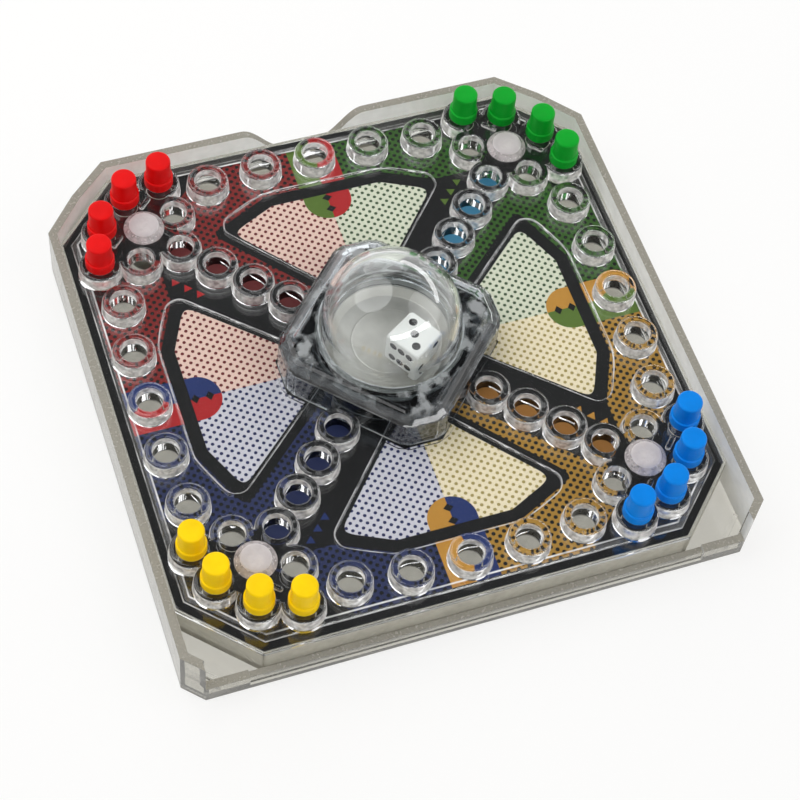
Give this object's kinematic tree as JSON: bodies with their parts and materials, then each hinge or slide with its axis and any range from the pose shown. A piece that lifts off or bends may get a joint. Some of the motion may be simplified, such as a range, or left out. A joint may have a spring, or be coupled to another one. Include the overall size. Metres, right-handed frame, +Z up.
{
  "type": "pop up dice board game",
  "caption": "Travel board game in a clear case tray: printed card under a clear deck with ringed peg holes, pegs, and a press-down clear dome that makes a die jump.",
  "frame": {"origin": "centre of the tray's underside, on the surface that it rests on", "axes": "+Z up out of the board, +X to the right and +Y to the back, where the tray has its finger notch"},
  "size_m": [0.1474, 0.1474, 0.0449],
  "materials": {
    "clear_tray": "clear, slightly grey polystyrene, worn dull on the rim",
    "clear_pan": "clear polystyrene",
    "printed_card": "printed and varnished card",
    "clear_deck": "clear polished polystyrene",
    "clear_housing": "clear polished polystyrene",
    "clear_dome": "clear polished polystyrene",
    "spring_steel": "fine brushed",
    "white_plastic": "moulded white with black spots",
    "screw_steel": "zinc plated",
    "frosted_plastic": "milky, frosted",
    "red_plastic": "moulded",
    "green_plastic": "moulded",
    "blue_plastic": "moulded",
    "yellow_plastic": "moulded"
  },
  "bodies": {
    "tray": {"carry_tray": "clear_tray"},
    "game_unit": {"base_pan": "clear_pan", "printed_card": "printed_card", "peg_deck": "clear_deck", "track_rings": "clear_deck", "corner_sockets": "clear_deck", "popper_housing": "clear_housing", "snap_disc": "spring_steel", "housing_screws": "screw_steel", "corner_rivets": "frosted_plastic"},
    "dome": {"popper_dome": "clear_dome"},
    "loose_die": {"die": "white_plastic"},
    "red_peg_1_body": {"red_peg_1": "red_plastic"},
    "red_peg_2_body": {"red_peg_2": "red_plastic"},
    "red_peg_3_body": {"red_peg_3": "red_plastic"},
    "red_peg_4_body": {"red_peg_4": "red_plastic"},
    "green_peg_1_body": {"green_peg_1": "green_plastic"},
    "green_peg_2_body": {"green_peg_2": "green_plastic"},
    "green_peg_3_body": {"green_peg_3": "green_plastic"},
    "green_peg_4_body": {"green_peg_4": "green_plastic"},
    "blue_peg_1_body": {"blue_peg_1": "blue_plastic"},
    "blue_peg_2_body": {"blue_peg_2": "blue_plastic"},
    "blue_peg_3_body": {"blue_peg_3": "blue_plastic"},
    "blue_peg_4_body": {"blue_peg_4": "blue_plastic"},
    "yellow_peg_1_body": {"yellow_peg_1": "yellow_plastic"},
    "yellow_peg_2_body": {"yellow_peg_2": "yellow_plastic"},
    "yellow_peg_3_body": {"yellow_peg_3": "yellow_plastic"},
    "yellow_peg_4_body": {"yellow_peg_4": "yellow_plastic"}
  },
  "joints": [
    {"name": "unit_lift", "type": "slide", "parent": "tray", "child": "game_unit", "axis": [0, 0, 1], "range_m": [0, 0.03]},
    {"name": "dome_press", "type": "slide", "parent": "game_unit", "child": "dome", "axis": [0, 0, -1], "range_m": [0, 0.002], "stiffness_N_per_m": 2500, "springref_m": -0.0004, "deforming": ["snap_disc"]},
    {"name": "die_hop", "type": "slide", "parent": "game_unit", "child": "loose_die", "axis": [0, 0, 1], "range_m": [0, 0.007]},
    {"name": "red_peg_1_lift", "type": "slide", "parent": "game_unit", "child": "red_peg_1_body", "axis": [0, 0, 1], "range_m": [0, 0.012]},
    {"name": "red_peg_2_lift", "type": "slide", "parent": "game_unit", "child": "red_peg_2_body", "axis": [0, 0, 1], "range_m": [0, 0.012]},
    {"name": "red_peg_3_lift", "type": "slide", "parent": "game_unit", "child": "red_peg_3_body", "axis": [0, 0, 1], "range_m": [0, 0.012]},
    {"name": "red_peg_4_lift", "type": "slide", "parent": "game_unit", "child": "red_peg_4_body", "axis": [0, 0, 1], "range_m": [0, 0.012]},
    {"name": "green_peg_1_lift", "type": "slide", "parent": "game_unit", "child": "green_peg_1_body", "axis": [0, 0, 1], "range_m": [0, 0.012]},
    {"name": "green_peg_2_lift", "type": "slide", "parent": "game_unit", "child": "green_peg_2_body", "axis": [0, 0, 1], "range_m": [0, 0.012]},
    {"name": "green_peg_3_lift", "type": "slide", "parent": "game_unit", "child": "green_peg_3_body", "axis": [0, 0, 1], "range_m": [0, 0.012]},
    {"name": "green_peg_4_lift", "type": "slide", "parent": "game_unit", "child": "green_peg_4_body", "axis": [0, 0, 1], "range_m": [0, 0.012]},
    {"name": "blue_peg_1_lift", "type": "slide", "parent": "game_unit", "child": "blue_peg_1_body", "axis": [0, 0, 1], "range_m": [0, 0.012]},
    {"name": "blue_peg_2_lift", "type": "slide", "parent": "game_unit", "child": "blue_peg_2_body", "axis": [0, 0, 1], "range_m": [0, 0.012]},
    {"name": "blue_peg_3_lift", "type": "slide", "parent": "game_unit", "child": "blue_peg_3_body", "axis": [0, 0, 1], "range_m": [0, 0.012]},
    {"name": "blue_peg_4_lift", "type": "slide", "parent": "game_unit", "child": "blue_peg_4_body", "axis": [0, 0, 1], "range_m": [0, 0.012]},
    {"name": "yellow_peg_1_lift", "type": "slide", "parent": "game_unit", "child": "yellow_peg_1_body", "axis": [0, 0, 1], "range_m": [0, 0.012]},
    {"name": "yellow_peg_2_lift", "type": "slide", "parent": "game_unit", "child": "yellow_peg_2_body", "axis": [0, 0, 1], "range_m": [0, 0.012]},
    {"name": "yellow_peg_3_lift", "type": "slide", "parent": "game_unit", "child": "yellow_peg_3_body", "axis": [0, 0, 1], "range_m": [0, 0.012]},
    {"name": "yellow_peg_4_lift", "type": "slide", "parent": "game_unit", "child": "yellow_peg_4_body", "axis": [0, 0, 1], "range_m": [0, 0.012]}
  ]
}
